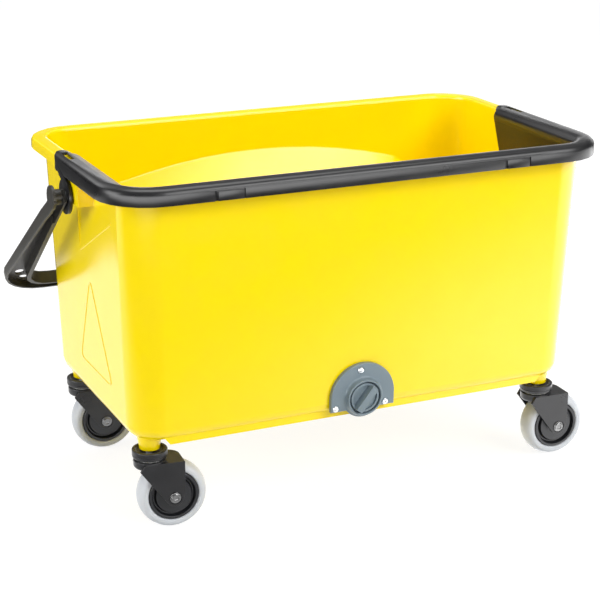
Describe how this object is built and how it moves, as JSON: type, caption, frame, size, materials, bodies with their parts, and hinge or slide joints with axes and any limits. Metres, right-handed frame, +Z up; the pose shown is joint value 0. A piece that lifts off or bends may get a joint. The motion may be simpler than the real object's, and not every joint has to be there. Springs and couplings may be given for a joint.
{
  "type": "mop bucket",
  "caption": "Oblong yellow mop bucket on swivel casters, with a black clip-on rim trim, a swinging bail handle and a twist-out drain plug low in the front wall.",
  "frame": {"origin": "on the floor under the middle of the bounding box", "axes": "+X along the tub, +Y from the drain side to the side where the bail hangs, +Z up"},
  "size_m": [0.636, 0.349, 0.3813],
  "materials": {
    "yellow_polypropylene": "glossy moulded, bright yellow",
    "black_polypropylene": "satin black moulded",
    "charcoal_polypropylene": "satin charcoal moulded",
    "grey_polypropylene": "satin blue-grey moulded",
    "dark_hub_plastic": "satin near-black moulded",
    "grey_rubber_tyre": "light grey non-marking rubber",
    "zinc_plated_steel": "bright zinc plate",
    "white_nylon": "natural white",
    "black_seal_rubber": "soft black"
  },
  "bodies": {
    "bucket": {"tub": "yellow_polypropylene", "rim_trim": "black_polypropylene", "bail_pin_left": "zinc_plated_steel", "bail_pin_right": "zinc_plated_steel", "drain_flange": "grey_polypropylene", "drain_gasket": "black_seal_rubber", "drain_screw_top": "zinc_plated_steel", "drain_screw_left": "zinc_plated_steel", "drain_screw_right": "zinc_plated_steel", "caster_stem_fl": "zinc_plated_steel", "caster_cap_fl": "black_polypropylene", "caster_washer_fl": "white_nylon", "caster_stem_fr": "zinc_plated_steel", "caster_cap_fr": "black_polypropylene", "caster_washer_fr": "white_nylon", "caster_stem_bl": "zinc_plated_steel", "caster_cap_bl": "black_polypropylene", "caster_washer_bl": "white_nylon", "caster_stem_br": "zinc_plated_steel", "caster_cap_br": "black_polypropylene", "caster_washer_br": "white_nylon"},
    "bail": {"bail_handle": "charcoal_polypropylene"},
    "drain_slide": {"drain_seal": "black_seal_rubber"},
    "drain_stopper": {"drain_plug": "grey_polypropylene"},
    "caster_fl": {"caster_fork_fl": "black_polypropylene", "caster_axle_fl": "zinc_plated_steel", "axle_nut_fl": "zinc_plated_steel"},
    "wheel_fl": {"wheel_hub_fl": "dark_hub_plastic", "wheel_bush_fl": "zinc_plated_steel", "wheel_tyre_fl": "grey_rubber_tyre"},
    "caster_fr": {"caster_fork_fr": "black_polypropylene", "caster_axle_fr": "zinc_plated_steel", "axle_nut_fr": "zinc_plated_steel"},
    "wheel_fr": {"wheel_hub_fr": "dark_hub_plastic", "wheel_bush_fr": "zinc_plated_steel", "wheel_tyre_fr": "grey_rubber_tyre"},
    "caster_bl": {"caster_fork_bl": "black_polypropylene", "caster_axle_bl": "zinc_plated_steel", "axle_nut_bl": "zinc_plated_steel"},
    "wheel_bl": {"wheel_hub_bl": "dark_hub_plastic", "wheel_bush_bl": "zinc_plated_steel", "wheel_tyre_bl": "grey_rubber_tyre"},
    "caster_br": {"caster_fork_br": "black_polypropylene", "caster_axle_br": "zinc_plated_steel", "axle_nut_br": "zinc_plated_steel"},
    "wheel_br": {"wheel_hub_br": "dark_hub_plastic", "wheel_bush_br": "zinc_plated_steel", "wheel_tyre_br": "grey_rubber_tyre"}
  },
  "joints": [
    {"name": "bail_swing", "type": "hinge", "parent": "bucket", "child": "bail", "pos_m": [0, -0.01587, 0.3424], "axis": [1, 0, 0], "range_deg": [0, 264]},
    {"name": "drain_pull", "type": "slide", "parent": "bucket", "child": "drain_slide", "axis": [0, -0.9994, -0.0357], "range_m": [0, 0.05]},
    {"name": "drain_turn", "type": "hinge", "parent": "drain_slide", "child": "drain_stopper", "pos_m": [-0.0045, -0.14805, 0.1234], "axis": [0, -0.9994, -0.0357], "range_deg": [0, 90]},
    {"name": "swivel_fl", "type": "hinge", "parent": "bucket", "child": "caster_fl", "pos_m": [-0.2374, -0.12037, 0.0777], "axis": [0, 0, 1], "continuous": true},
    {"name": "roll_fl", "type": "hinge", "parent": "caster_fl", "child": "wheel_fl", "pos_m": [-0.21528, -0.12231, 0.0375], "axis": [0.0872, 0.9962, 0], "continuous": true},
    {"name": "swivel_fr", "type": "hinge", "parent": "bucket", "child": "caster_fr", "pos_m": [0.2374, -0.12037, 0.0777], "axis": [0, 0, 1], "continuous": true},
    {"name": "roll_fr", "type": "hinge", "parent": "caster_fr", "child": "wheel_fr", "pos_m": [0.25959, -0.12115, 0.0375], "axis": [0.0349, 0.9994, 0], "continuous": true},
    {"name": "swivel_bl", "type": "hinge", "parent": "bucket", "child": "caster_bl", "pos_m": [-0.2374, 0.10863, 0.0777], "axis": [0, 0, 1], "continuous": true},
    {"name": "roll_bl", "type": "hinge", "parent": "caster_bl", "child": "wheel_bl", "pos_m": [-0.21525, 0.10708, 0.0375], "axis": [0.0698, 0.9976, 0], "continuous": true},
    {"name": "swivel_br", "type": "hinge", "parent": "bucket", "child": "caster_br", "pos_m": [0.2374, 0.10863, 0.0777], "axis": [0, 0, 1], "continuous": true},
    {"name": "roll_br", "type": "hinge", "parent": "caster_br", "child": "wheel_br", "pos_m": [0.25952, 0.11056, 0.0375], "axis": [-0.0872, 0.9962, 0], "continuous": true}
  ]
}
